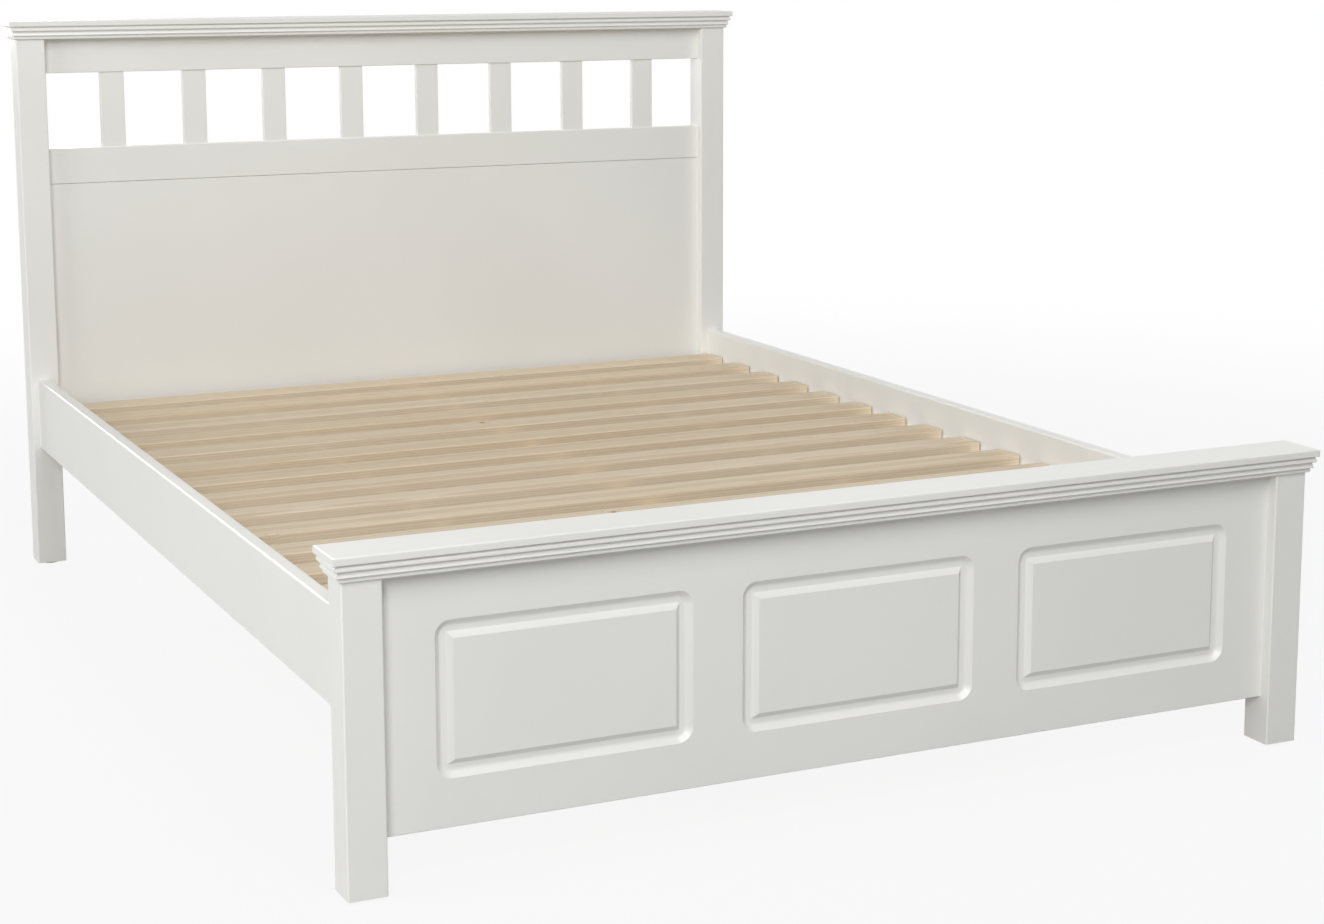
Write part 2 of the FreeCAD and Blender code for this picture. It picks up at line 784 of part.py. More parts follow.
def insert_seat(end, bore_radius, low, length):
    """The recess in a leg for an insert."""
    base = Vector(0, end * leg_y, low)
    return Part.makeCylinder(bore_radius + 2 * hole_gap + insert_wall, length, base)


def bolt_insert_low():
    """Lower end of the insert for a leg bolt."""
    return centre_rail_bottom - bolt_insert_length


def stud_top():
    """Upper end of a levelling stud at rest."""
    return leg_bottom + leveller_drop + leveller_grip


def centre_leg(end):
    """A square leg under the centre rail, with an insert at each end."""
    body = block(about(0, leg_side), about(end * leg_y, leg_side), (leg_bottom, centre_rail_bottom))
    body = round_edges(body, leg_arris, AXIS_Z)
    bore_top = stud_top() + leveller_lift + leveller_stop_gap
    base = Vector(0, end * leg_y, leg_bottom - overrun)
    cuts = [
        leg_bolt_hole(end),
        insert_seat(end, bolt_radius, bolt_insert_low(), bolt_insert_length + overrun),
        insert_seat(end, leveller_stud_radius, leg_bottom - overrun,
                    leveller_insert_length + overrun),
        Part.makeCylinder(leveller_stud_radius + joint_gap, bore_top - base.z, base),
    ]
    return body.cut(cuts)


# Levelling feet

def leveller_seat():
    """Lower end of a levelling stud, inside its pad."""
    return leveller_pad_height - leveller_stud_seat


def leveller_stud(end):
    """Threaded stud with a hexagon collar that stands on the pad."""
    low = leveller_seat()
    base = Vector(0, end * leg_y, low)
    stud = Part.makeCylinder(leveller_stud_radius, stud_top() - low, base)
    collar = hexagon(leveller_collar_radius, Vector(0, end * leg_y, leveller_pad_height),
                     leveller_collar_height)
    return stud.fuse(collar)


def leveller_pad(end):
    """Moulded pad: a flat foot whose top slopes up to a neck round the stud."""
    neck = leveller_pad_radius * leveller_pad_neck_share
    rim = leveller_pad_height * leveller_pad_rim_share
    outline = Part.makePolygon([
        Vector(0, 0, 0), Vector(leveller_pad_radius - glide_edge, 0, 0),
        Vector(leveller_pad_radius, 0, glide_edge), Vector(leveller_pad_radius, 0, rim),
        Vector(neck, 0, leveller_pad_height), Vector(0, 0, leveller_pad_height), Vector(0, 0, 0)])
    pad = Part.Face(outline).revolve(Vector(0, 0, 0), AXIS_Z, 360)
    seat = Part.makeCylinder(leveller_stud_radius + hole_gap, leveller_stud_seat + overrun,
                             Vector(0, 0, leveller_seat()))
    pad = pad.cut(seat)
    pad.translate(Vector(0, end * leg_y, 0))
    return pad


# The whole bed

def corners():
    """Each corner of the bed, as the signs of its side and its end."""
    return [(side, end) for side in SIDES.values() for end in ENDS.values()]


def build():
    """Every node's name with its solids."""
    nodes = {}
    for end_name, end in ENDS.items():
        for side_name, side in SIDES.items():
            nodes["%s_post_%s" % (end_name, side_name)] = [post(side, end)]
        nodes["%s_cap" % end_name] = [cap(end)]
        nodes["centre_leg_%s" % end_name] = [centre_leg(end)]
        nodes["leveller_stud_%s" % end_name] = [leveller_stud(end)]
        nodes["leveller_pad_%s" % end_name] = [leveller_pad(end)]
    nodes["foot_panel"] = [foot_panel()]
    nodes["head_panel"] = [head_panel()]
    nodes["head_mid_rail"] = [head_mid_rail()]
    nodes["head_top_rail"] = [head_top_rail()]
    for number, x in enumerate(spindle_places(), 1):
        nodes["head_spindle_%d" % number] = [spindle(x)]
    for side_name, side in SIDES.items():
        nodes["side_rail_%s" % side_name] = [side_rail(side)]
        nodes["cleat_%s" % side_name] = [cleat(side)]
        nodes["slat_strap_%s" % side_name] = [slat_strap(side)]
    for number, y in enumerate(slat_places(), 1):
        nodes["slat_%02d" % number] = [slat(y)]
    nodes["centre_rail"] = [centre_rail()]
    nodes["centre_brackets"] = [centre_bracket(end) for end in ENDS.values()]
    nodes["leg_bolts"] = [leg_bolt(end) for end in ENDS.values()]
    nodes["leg_bolt_inserts"] = [insert(end, bolt_radius, bolt_insert_low(), bolt_insert_length)
                                 for end in ENDS.values()]
    nodes["leveller_inserts"] = [insert(end, leveller_stud_radius, leg_bottom, leveller_insert_length)
                                 for end in ENDS.values()]
    nodes["hook_plates"] = [drilled_corner(hook_plate(), side, end) for side, end in corners()]
    nodes["slot_plates"] = [drilled_corner(slot_plate(), side, end) for side, end in corners()]
    nodes["post_glides"] = [glide(side, end) for side, end in corners()]
    nodes["cap_dowels"] = [dowel(point) for end in ENDS.values() for point in dowel_places(end)]
    plate_places = [place for side, end in corners() for place in plate_screw_places(side, end)]
    cleat_places = [place for side in SIDES.values() for place in cleat_screw_places(side)]
    slat_screw_all = [place for y in slat_places() for place in slat_screw_places(y)]
    bracket_places = [place for end in ENDS.values() for place in bracket_screw_places(end)]
    nodes["plate_screws"] = screws(plate_screw_length, plate_places)
    nodes["cleat_screws"] = screws(cleat_screw_length, cleat_places)
    nodes["slat_screws"] = screws(slat_screw_length, slat_screw_all)
    nodes["bracket_screws"] = screws(bracket_screw_length, bracket_places)
    return nodes


def main():
    os.makedirs("parts", exist_ok=True)
    for name, solids in build().items():
        for solid in solids:
            if not solid.isValid() or len(solid.Solids) != 1:
                raise ValueError("%s is not one valid solid" % name)
        shape = solids[0] if len(solids) == 1 else Part.makeCompound(solids)
        shape.exportStep("parts/%s.step" % name)
        size = shape.BoundBox
        print("%-22s %3d  x %.1f %.1f  y %.1f %.1f  z %.1f %.1f" % (
            name, len(solids), size.XMin, size.XMax, size.YMin, size.YMax, size.ZMin, size.ZMax))


main()
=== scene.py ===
# %% [markdown]
# # A painted bed frame, dressed for its portrait
# The frame of a double bed: a low footboard with three routed fields, a tall headboard with flat
# spindles, two side rails and a deck of pine slats. Its solid pieces arrive finished in shape, so
# this lesson is about everything that makes them look real. We set up a camera and light, write
# paint, pine, zinc, nylon and webbing as node trees, and make the few pieces whose shape follows a
# rule with Geometry Nodes: the straps under the slats, their staples and the threaded studs.

# %% Load the frame
import json
import math
import bmesh
import bpy
from mathutils import Matrix, Vector


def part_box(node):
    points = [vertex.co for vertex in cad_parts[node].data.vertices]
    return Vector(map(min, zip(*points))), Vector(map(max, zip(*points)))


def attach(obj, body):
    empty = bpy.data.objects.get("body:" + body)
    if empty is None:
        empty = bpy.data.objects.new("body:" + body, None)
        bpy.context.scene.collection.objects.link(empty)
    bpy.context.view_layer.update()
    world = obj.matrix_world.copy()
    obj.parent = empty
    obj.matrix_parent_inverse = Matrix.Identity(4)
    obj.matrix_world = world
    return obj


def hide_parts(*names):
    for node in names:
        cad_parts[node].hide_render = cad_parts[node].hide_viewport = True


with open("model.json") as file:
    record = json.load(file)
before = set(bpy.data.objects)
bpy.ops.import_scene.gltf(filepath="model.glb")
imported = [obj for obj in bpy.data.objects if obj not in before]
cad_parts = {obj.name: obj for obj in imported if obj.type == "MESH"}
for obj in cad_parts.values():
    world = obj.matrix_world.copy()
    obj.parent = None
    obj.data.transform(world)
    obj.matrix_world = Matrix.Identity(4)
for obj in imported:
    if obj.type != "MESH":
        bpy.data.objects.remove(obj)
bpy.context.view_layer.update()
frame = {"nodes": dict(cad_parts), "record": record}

# %% [markdown]
# ## Units
# Blender counts in metres, but a joiner speaks in millimetres. One named factor lets every size
# below be written the way it would be measured.

# %% Units
MM = 0.001
ACROSS, ALONG, UP = 0, 1, 2


def middle(node):
    """Centre of a solid piece's box."""
    low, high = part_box(node)
    return (low + high) / 2


def span(node, axis):
    """Length of a solid piece's box along one axis."""
    low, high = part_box(node)
    return high[axis] - low[axis]


# %% [markdown]
# ## Camera
# The picture was taken from standing height at the foot end, a little to the left, with a short
# telephoto lens. A photographer keeps posts upright with a shifting lens. We shift a little and tilt
# the rest, because a large shift would push the bed out of every other view.

# %% Camera
camera_place = Vector((-1.774, -4.112, 1.280))
camera_turn = math.radians(25.30)
camera_tilt = math.radians(9.42)
camera_roll = math.radians(-0.11)
sensor_width = 36.0
lens_length = 66.99
lens_shift = -0.08

camera = bpy.data.objects.new("portrait_camera", bpy.data.cameras.new("portrait_camera"))
bpy.context.scene.collection.objects.link(camera)
camera.data.sensor_fit = "HORIZONTAL"
camera.data.sensor_width = sensor_width
camera.data.lens = lens_length
camera.data.shift_y = lens_shift
heading = Matrix.Rotation(-camera_turn, 4, "Z")
nod = Matrix.Rotation(math.radians(90) - camera_tilt, 4, "X")
lean = Matrix.Rotation(camera_roll, 4, "Z")
camera.matrix_world = Matrix.Translation(camera_place) @ heading @ nod @ lean
bpy.context.scene.camera = camera
print("camera stands %.2f m from the footboard" % (camera_place - middle("foot_panel")).length)

# %% [markdown]
# ## Sums on sockets
# A node tree is a sum written with wires. Writing it as Python keeps it readable: `Reading` wraps one
# socket, and its operators add Math nodes, so `1 - mask` means what it says. `Tree.node` adds any
# other node: its settings first, because some of them change which sockets it has, then the values
# or links of its sockets.

# %% Sums on sockets
class Reading:
    """The output of a socket, on which Python's own sums work."""

    def __init__(self, tree, socket):
        self.tree = tree
        self.socket = socket

    def sum(self, operation, first, second=0.0):
        return self.tree.node("ShaderNodeMath", {"operation": operation}, {0: first, 1: second})

    def __add__(self, other):
        return self.sum("ADD", self, other)

    def __radd__(self, other):
        return self.sum("ADD", other, self)

    def __sub__(self, other):
        return self.sum("SUBTRACT", self, other)

    def __rsub__(self, other):
        return self.sum("SUBTRACT", other, self)

    def __mul__(self, other):
        return self.sum("MULTIPLY", self, other)

    def __rmul__(self, other):
        return self.sum("MULTIPLY", other, self)

    def __truediv__(self, other):
        return self.sum("DIVIDE", self, other)

    def __rtruediv__(self, other):
        return self.sum("DIVIDE", other, self)

    def __pow__(self, other):
        return self.sum("POWER", self, other)

    def __mod__(self, other):
        return self.sum("FLOORED_MODULO", self, other)

    def __abs__(self):
        return self.sum("ABSOLUTE", self)

    def floor(self):
        return self.sum("FLOOR", self)

    def sine(self):
        return self.sum("SINE", self)

    def at_least(self, other):
        return self.sum("MAXIMUM", self, other)

    def at_most(self, other):
        return self.sum("MINIMUM", self, other)


class Tree:
    """A node tree that is written as expressions."""

    def __init__(self, tree):
        self.tree = tree

    def feed(self, socket, value):
        """Give a socket a link, or a plain value."""
        if isinstance(value, Reading):
            self.tree.links.new(value.socket, socket)
        else:
            socket.default_value = value

    def node(self, kind, settings=None, sockets=None, output=0):
        """Add a node and read one of its outputs."""
        made = self.tree.nodes.new(kind)
        for name, value in (settings or {}).items():
            setattr(made, name, value)
        for name, value in (sockets or {}).items():
            self.feed(made.inputs[name], value)
        return Reading(self, made.outputs[output])

    def vector(self, x, y, z):
        return self.node("ShaderNodeCombineXYZ", {}, {0: x, 1: y, 2: z})

    def split(self, vector):
        """The three numbers of a vector or a colour."""
        made = self.node("ShaderNodeSeparateXYZ", {}, {0: vector}).socket.node
        return [Reading(self, socket) for socket in made.outputs]

    def ease(self, value, start, end):
        """A soft step from 0 at one value to 1 at another."""
        return self.node("ShaderNodeMapRange", {"interpolation_type": "SMOOTHSTEP"},
                         {"Value": value, "From Min": start, "From Max": end})

    def mix(self, share, first, second):
        """A colour between two colours."""
        return self.node("ShaderNodeMix", {"data_type": "RGBA"}, {0: share, 6: first, 7: second}, 2)

    def noise(self, point, scale, detail=2.0):
        """Soft noise, about a half on average."""
        return self.node("ShaderNodeTexNoise", {}, {"Vector": point, "Scale": scale, "Detail": detail})


# %% [markdown]
# ## Finishes
# Every finish here is one Principled shader. A `Finish` starts from it, sets the numbers that are the
# same all over straight on its sockets, and offers the place of the shaded point in metres. The bed's
# pieces all sit at the origin, so Object coordinates are real places on the bed.

# %% Finishes
class Finish(Tree):
    """A material with a Principled shader and a tree that is written as expressions."""

    def __init__(self, name, **constants):
        self.material = bpy.data.materials.new(name)
        self.material.use_nodes = True
        super().__init__(self.material.node_tree)
        self.shader = self.tree.nodes["Principled BSDF"]
        for label, value in constants.items():
            self.shader.inputs[label.replace("_", " ")].default_value = value

    def place(self):
        """The shaded point's X, Y and Z on the bed."""
        return self.split(self.node("ShaderNodeTexCoord", output="Object"))

    def dress(self, colour, roughness, height):
        """Wire up what changes over the surface. Height is in metres."""
        self.feed(self.shader.inputs["Base Color"], colour)
        self.feed(self.shader.inputs["Roughness"], roughness)
        bump = self.node("ShaderNodeBump", {}, {"Height": height, "Strength": 1.0, "Distance": 1.0})
        self.feed(self.shader.inputs["Normal"], bump)
        return self.material


# %% [markdown]
# ## Floor and background
# The bed stands in front of nothing, on white. The floor is a real pale surface, so it catches a soft
# shadow and throws light back up, and for the camera it is mostly replaced by plain white. Far from
# the bed it is white altogether, so no horizon shows.

# %% Floor and background
floor_half = 30.0
floor_colour = (0.42, 0.42, 0.415, 1.0)
floor_roughness = 0.9
floor_white_near_share = 0.90
floor_fade_start, floor_fade_end = 2.2, 5.0
white = (1.0, 1.0, 1.0, 1.0)


def seen_rays(tree):
    """1 for a ray from the camera, or one that a shiny or a clear surface sends on."""
    path = tree.node("ShaderNodeLightPath").socket.node
    rays = [Reading(tree, path.outputs[name]) for name in
            ("Is Camera Ray", "Is Glossy Ray", "Is Transmission Ray")]
    return (rays[0] + rays[1] + rays[2]).at_most(1.0)


floor_finish = Finish("floor", Roughness=floor_roughness)
floor_finish.shader.inputs["Base Color"].default_value = floor_colour
x, y, z = floor_finish.place()
from_middle = (x * x + y * y) ** 0.5
fade = floor_finish.ease(from_middle, floor_fade_start, floor_fade_end)
shown_white = seen_rays(floor_finish) * (floor_white_near_share + (1 - floor_white_near_share) * fade)
glow = floor_finish.node("ShaderNodeEmission", {}, {"Color": white, "Strength": 1.0})
floor_shader = floor_finish.node("ShaderNodeMixShader", {}, {
    0: shown_white, 1: Reading(floor_finish, floor_finish.shader.outputs[0]), 2: glow})
floor_finish.feed(floor_finish.tree.nodes["Material Output"].inputs["Surface"], floor_shader)

bpy.ops.mesh.primitive_plane_add(size=2 * floor_half, location=(0, 0, 0))
floor = bpy.context.object
floor.name = "floor"
floor.data.materials.append(floor_finish.material)
print("floor: %.0f m wide" % (2 * floor_half))

# %% [markdown]
# ## Light
# White paint only shows its shape if its sides differ in tone. The world gives a weak even fill from
# all round, and shows plain white to the camera. The rest comes from broad lamps. One high in front
# darkens the walls of the grooves that face down, and one at the front left corner rounds the fields.
# One on the left lights the side rail, and one over the bed lights the headboard but not the footboard.
# The last two keep the back and the right side clear. The powers of the first four were weighed
# against each other until each face had its own tone.

# %% Light
fill_strength = 0.10
lamps = {
    "front_lamp": {"place": (-0.3, -4.4, 5.2), "target": (0.0, -1.0, 0.5),
                   "size": 2.2, "power": 114.0},
    "corner_lamp": {"place": (-3.6, -5.4, 3.4), "target": (0.0, -0.6, 0.5),
                    "size": 2.2, "power": 179.0},
    "left_lamp": {"place": (-5.6, -0.4, 1.8), "target": (0.0, 0.0, 0.5),
                  "size": 2.4, "power": 101.0},
    "head_lamp": {"place": (0.3, -1.25, 4.2), "target": (0.1, 0.9, 0.6),
                  "size": 1.6, "power": 18.0},
    "back_lamp": {"place": (-0.9, 6.4, 2.4), "target": (0.0, 0.6, 0.5),
                  "size": 3.0, "power": 180.0},
    "right_lamp": {"place": (5.6, 0.8, 2.6), "target": (0.0, 0.0, 0.5),
                   "size": 2.6, "power": 80.0},
}

world = bpy.data.worlds.new("studio")
bpy.context.scene.world = world
world.use_nodes = True
sky = Tree(world.node_tree)
sky_strength = fill_strength + (1 - fill_strength) * seen_rays(sky)
sky.feed(world.node_tree.nodes["Background"].inputs["Color"], white)
sky.feed(world.node_tree.nodes["Background"].inputs["Strength"], sky_strength)


def soft_box(name, place, target, size, power):
    """A square area lamp that faces a point and that no camera sees."""
    lamp = bpy.data.lights.new(name, "AREA")
    lamp.shape = "SQUARE"
    lamp.size = size
    lamp.energy = power
    made = bpy.data.objects.new(name, lamp)
    made.location = place
    made.rotation_euler = (Vector(target) - Vector(place)).to_track_quat("-Z", "Y").to_euler()
    made.visible_camera = False
    bpy.context.scene.collection.objects.link(made)


for name, lamp in lamps.items():
    soft_box(name, **lamp)
bpy.context.scene.view_settings.view_transform = "Standard"
print("light:", ", ".join("%s %.0f W" % (name, lamp["power"]) for name, lamp in lamps.items()))

# %% [markdown]
# ## Satin paint
# Furniture paint is sprayed in thin coats and sanded between them. Close up it has a fine orange peel,
# the timber's grain still shows as long faint ridges, and each board takes the light a little
# differently. None of it changes the colour by more than a hair, so nearly all of the work goes into
# roughness and height. The grain follows a board's length, so the paint is made once for each axis.

# %% Satin paint
paint_colour = (0.868, 0.866, 0.838, 1.0)
paint_shade = (0.846, 0.845, 0.812, 1.0)
paint_roughness, paint_roughness_swing, paint_cloud_swing = 0.36, 0.10, 0.08
paint_coat, paint_coat_roughness = 0.12, 0.22
peel_scale, peel_detail, peel_height = 420.0, 1.0, 0.010 * MM
grain_lines, grain_detail, grain_stretch, grain_height = 260.0, 3.0, 0.04, 0.014 * MM
cloud_scale = 3.0
cloud_low, cloud_high = 0.3, 0.7


def paint(name, grain):
    """Satin paint over timber whose grain runs along one axis."""
    finish = Finish(name, Coat_Weight=paint_coat, Coat_Roughness=paint_coat_roughness)
    place = finish.place()
    stretched = [value * (grain_stretch if axis == grain else 1.0) for axis, value in enumerate(place)]
    point = finish.vector(*place)
    cloud = finish.noise(point, cloud_scale)
    peel = finish.noise(point, peel_scale, peel_detail)
    lines = finish.noise(finish.vector(*stretched), grain_lines, grain_detail)
    colour = finish.mix(finish.ease(cloud, cloud_low, cloud_high), paint_shade, paint_colour)
    roughness = (paint_roughness + paint_roughness_swing * (lines - 0.5)
                 + paint_cloud_swing * (cloud - 0.5))
    return finish.dress(colour, roughness, peel * peel_height + lines * grain_height)


painted = {axis: paint("satin_paint_grain_" + "xyz"[axis], axis) for axis in (ACROSS, ALONG, UP)}
print("paint:", ", ".join(material.name for material in painted.values()))

# %% [markdown]
# ## Bare pine
# The slats are left bare. A plank is a slice through a tree's rings, so instead of painting stripes
# we describe the log: rings round a pith that wanders a little, cut by the plank. A slow rise and a
# sudden fall of tone across each ring is what makes it softwood. Each board takes random numbers from
# its place, so that neighbours come from different logs, and rings bend round the knots. A tree has
# good years and poor ones, so the rings aren't equally wide.

# %% Bare pine
pine_early = (0.730, 0.600, 0.430, 1.0)
pine_late = (0.560, 0.390, 0.220, 1.0)
pine_pale = (0.760, 0.655, 0.510, 1.0)
knot_colour = (0.230, 0.105, 0.040, 1.0)
ring_width = 4.2 * MM
season_scale, season_swing = 90.0, 1.6
pith_depth, pith_swing = 38 * MM, 45 * MM
pith_wander = 14 * MM
knot_spacing = 210 * MM
knot_radius = 6.5 * MM
knot_swirl = 9 * MM
swirl_reach, halo_reach, knot_core_share = 4, 2.6, 0.7
board_luck, log_shift, knot_shift = 0.37, 7.0, 3.1
wander_scale = 1.3
fuzz_along, fuzz_across, fuzz_swing = 6.0, 40.0, 0.7
fibre_along, fibre_across = 12.0, 900.0
late_rise, late_fall_start = 2.2, 0.90
pale_tone, late_tone, fibre_tone, halo_tone = 0.8, 0.62, 0.16, 0.35
pine_roughness, late_polish, knot_polish, fibre_roughness = 0.60, 0.10, 0.15, 0.1
late_height, fibre_height = 0.03 * MM, 0.03 * MM


def pine(name, along, across, through, first, pitch, heart):
    """Pine boards whose grain runs along one axis and which lie side by side, a pitch apart.

    The heart is the middle of a board's thickness, from which the depth of the pith is measured.
    """
    finish = Finish(name)
    place = finish.place()
    board = ((place[across] - first) / pitch + 0.5).floor()
    luck = finish.split(finish.node("ShaderNodeTexWhiteNoise", {"noise_dimensions": "1D"},
                                    {"W": board + board_luck}, "Color"))
    length = place[along] + luck[0] * log_shift
    sideways = place[across] - first - board * pitch
    wander = finish.noise(finish.vector(length, board, 0.0), wander_scale) - 0.5
    knots = finish.node("ShaderNodeTexVoronoi", {}, {
        "Vector": finish.vector(length, sideways + luck[1], board * knot_shift),
        "Scale": 1 / knot_spacing}) * knot_spacing
    swirl = (1 - finish.ease(knots, 0.0, swirl_reach * knot_radius)) * knot_swirl
    y = sideways + (luck[1] - 0.5) * pith_swing + wander * pith_wander
    z = place[through] - heart + pith_depth + luck[2] * pith_swing
    fuzz = finish.noise(finish.vector(length * fuzz_along, sideways * fuzz_across, z * fuzz_across), 1.0)
    depth = (y * y + z * z) ** 0.5 + swirl
    season = finish.noise(finish.vector(depth, board, 0.0), season_scale, 0.0) - 0.5
    rings = depth / ring_width + season * season_swing + fuzz * fuzz_swing
    turn = rings % 1.0
    late = (turn ** late_rise) * (1 - finish.ease(turn, late_fall_start, 1.0))
    fibre = finish.noise(
        finish.vector(length * fibre_along, sideways * fibre_across, z * fibre_across), 1.0)
    body = finish.mix(luck[2] * pale_tone, pine_early, pine_pale)
    toned = finish.mix(late * late_tone + (fibre - 0.5) * fibre_tone, body, pine_late)
    knot = 1 - finish.ease(knots, knot_radius * knot_core_share, knot_radius)
    halo = (1 - finish.ease(knots, knot_radius, halo_reach * knot_radius)) * halo_tone
    colour = finish.mix(knot, finish.mix(halo, toned, pine_late), knot_colour)
    roughness = (pine_roughness - late * late_polish - knot * knot_polish
                 + (fibre - 0.5) * fibre_roughness)
    return finish.dress(colour, roughness, late * late_height + fibre * fibre_height)


first_slat = middle("slat_01").y
slat_pitch = middle("slat_02").y - first_slat
first_leg = middle("centre_leg_foot").y
leg_pitch = middle("centre_leg_head").y - first_leg
bare = {
    ACROSS: pine("pine_slats", ACROSS, ALONG, UP, first_slat, slat_pitch, middle("slat_01").z),
    ALONG: pine("pine_centre_rail", ALONG, ACROSS, UP, 0.0, 1.0, middle("centre_rail").z),
    UP: pine("pine_legs", UP, ALONG, ACROSS, first_leg, leg_pitch, middle("centre_leg_foot").x),
}
print("pine: slats %.1f mm apart" % (slat_pitch / MM))

# %% [markdown]
# ## Zinc, nylon and webbing
# Bright zinc plate is a metal with a slightly cloudy sheen. Moulded nylon is dark, dull and finely
# textured. Webbing is woven: cords run along the strap and a thread crosses them, over one and under
# the next, and a small checkerboard of sines gives both its height and painted shade in its gaps.

# %% Zinc
zinc_dull, zinc_bright = (0.62, 0.63, 0.64, 1.0), (0.76, 0.77, 0.78, 1.0)
zinc_roughness, zinc_roughness_swing = 0.30, 0.20
spangle_scale, spangle_detail = 90.0, 3.0
scuff_scale, scuff_detail, scuff_height = 1400.0, 1.0, 0.004 * MM


def zinc():
    """Bright zinc plate."""
    finish = Finish("bright_zinc", Metallic=1.0)
    point = finish.vector(*finish.place())
    cloud = finish.noise(point, spangle_scale, spangle_detail)
    scuff = finish.noise(point, scuff_scale, scuff_detail)
    colour = finish.mix(finish.ease(cloud, cloud_low, cloud_high), zinc_dull, zinc_bright)
    roughness = zinc_roughness + (cloud - 0.5) * zinc_roughness_swing
    return finish.dress(colour, roughness, scuff * scuff_height)


# %% Nylon
nylon_dark, nylon_light = (0.018, 0.018, 0.019, 1.0), (0.032, 0.032, 0.033, 1.0)
nylon_index = 1.53
nylon_roughness, nylon_roughness_swing = 0.48, 0.14
spark_scale, spark_detail, spark_height = 1600.0, 1.0, 0.02 * MM
nylon_cloud_scale = 60.0


def nylon():
    """Moulded nylon, dark and finely textured."""
    finish = Finish("moulded_nylon", IOR=nylon_index)
    point = finish.vector(*finish.place())
    spark = finish.noise(point, spark_scale, spark_detail)
    cloud = finish.noise(point, nylon_cloud_scale)
    colour = finish.mix(cloud, nylon_dark, nylon_light)
    roughness = nylon_roughness + (spark - 0.5) * nylon_roughness_swing
    return finish.dress(colour, roughness, spark * spark_height)


# %% Webbing
cord_width = 2.08 * MM
thread_width = 1.5 * MM
# The gap colour is painted shade: the low places of the weave are darkened in their colour.
webbing_gap_shade, webbing_cord = (0.40, 0.38, 0.34, 1.0), (0.74, 0.72, 0.67, 1.0)
webbing_sheen = 0.25
webbing_roughness, cord_polish = 0.82, 0.12
fray_scale, fray_detail, fray_stretch = 1100.0, 2.0, 4.0
rise_shade_tone, fray_tone = 0.8, 0.3
rise_height, fray_height = 0.30 * MM, 0.05 * MM


def webbing():
    """Webbing woven from cords along the strap and a thread across it, with painted shade in its gaps.
    """
    finish = Finish("woven_webbing", Sheen_Weight=webbing_sheen)
    x, y, z = finish.place()
    cord = x / cord_width
    thread = y / thread_width
    over = (cord.floor() + thread.floor()) % 2.0
    cord_rise = abs((cord * math.pi).sine())
    thread_rise = abs((thread * math.pi).sine())
    rise = (over * cord_rise * (0.5 + 0.5 * thread_rise)
            + (1 - over) * thread_rise * (0.5 + 0.5 * cord_rise))
    fray = finish.noise(finish.vector(x * fray_stretch, y, z), fray_scale, fray_detail)
    # Painted shade: the colour is darker where the weave dips between cords; the fray noise adds the
    # fibres' own random tone.
    tone = (rise * rise_shade_tone + fray * fray_tone).at_most(1.0)
    colour = finish.mix(tone, webbing_gap_shade, webbing_cord)
    roughness = webbing_roughness - rise * cord_polish
    return finish.dress(colour, roughness, rise * rise_height + fray * fray_height)


metal = zinc()
plastic = nylon()
cloth = webbing()
print("small finishes:", metal.name, plastic.name, cloth.name)

# %% [markdown]
# ## Dressing the solid pieces
# The record says which stuff each solid piece is made of. Timber also has a direction, and on this bed
# it is always the way the piece is longest, so the box of each piece picks the right one of the three
# paints or pines.

# %% Dress the solid pieces
def grain_of(node):
    """The axis along which a piece is longest."""
    low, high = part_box(node)
    size = list(high - low)
    return size.index(max(size))


def finish_for(node, slot):
    """The material for a solid piece from its slot in the record."""
    if slot == "satin_paint":
        return painted[grain_of(node)]
    if slot == "bare_pine":
        return bare[grain_of(node)]
    return {"zinc_steel": metal, "moulded_plastic": plastic, "webbing": cloth}[slot]


slot_of = {row["node"]: row["material_slot"] for row in frame["record"]["subparts"]}
for node, solid in frame["nodes"].items():
    material = finish_for(node, slot_of[node])
    if not solid.material_slots:
        solid.data.materials.append(material)
    for slot in solid.material_slots:
        slot.material = material
print("dressed", len(slot_of), "solid pieces")

# %% [markdown]
# ## Shapes by rule
# A `Shape` is a Geometry Nodes tree with named sizes as its inputs. It is run once on an empty mesh,
# the result is kept as a plain mesh, and the modifier is thrown away. The rule stays readable here,
# and the piece that is left is as simple as any other.

# %% Shapes by rule
class Shape(Tree):
    """A Geometry Nodes tree whose named sizes are its inputs."""

    def __init__(self, name, sizes):
        super().__init__(bpy.data.node_groups.new(name, "GeometryNodeTree"))
        self.sizes = sizes
        self.sockets = {}
        face = self.tree.interface
        for label, value in sizes.items():
            kind = "NodeSocketInt" if isinstance(value, int) else "NodeSocketFloat"
            self.sockets[label] = face.new_socket(label, in_out="INPUT", socket_type=kind).identifier
        face.new_socket("Geometry", in_out="OUTPUT", socket_type="NodeSocketGeometry")
        self.group = self.tree.nodes.new("NodeGroupInput")

    def size(self, label):
        """One of the named sizes."""
        return Reading(self, self.group.outputs[label])

    def join(self, parts):
        made = self.tree.nodes.new("GeometryNodeJoinGeometry")
        for part in parts:
            self.tree.links.new(part.socket, made.inputs[0])
        return Reading(self, made.outputs[0])

    def run(self, geometry, name, material):
        """Run the tree and return the result as a plain mesh object."""
        whole = self.node("GeometryNodeRealizeInstances", {}, {0: geometry})
        dressed = self.node("GeometryNodeSetMaterial", {}, {"Geometry": whole, "Material": material})
        end = self.tree.nodes.new("NodeGroupOutput")
        self.tree.links.new(dressed.socket, end.inputs[0])
        piece = bpy.data.objects.new(name, bpy.data.meshes.new(name))
        bpy.context.scene.collection.objects.link(piece)
        modifier = piece.modifiers.new("shape", "NODES")
        modifier.node_group = self.tree
        for label, value in self.sizes.items():
            modifier[self.sockets[label]] = value
        graph = bpy.context.evaluated_depsgraph_get()
        piece.data = bpy.data.meshes.new_from_object(piece.evaluated_get(graph))
        piece.modifiers.remove(modifier)
        print("%s: %d faces" % (name, len(piece.data.polygons)))
        return piece


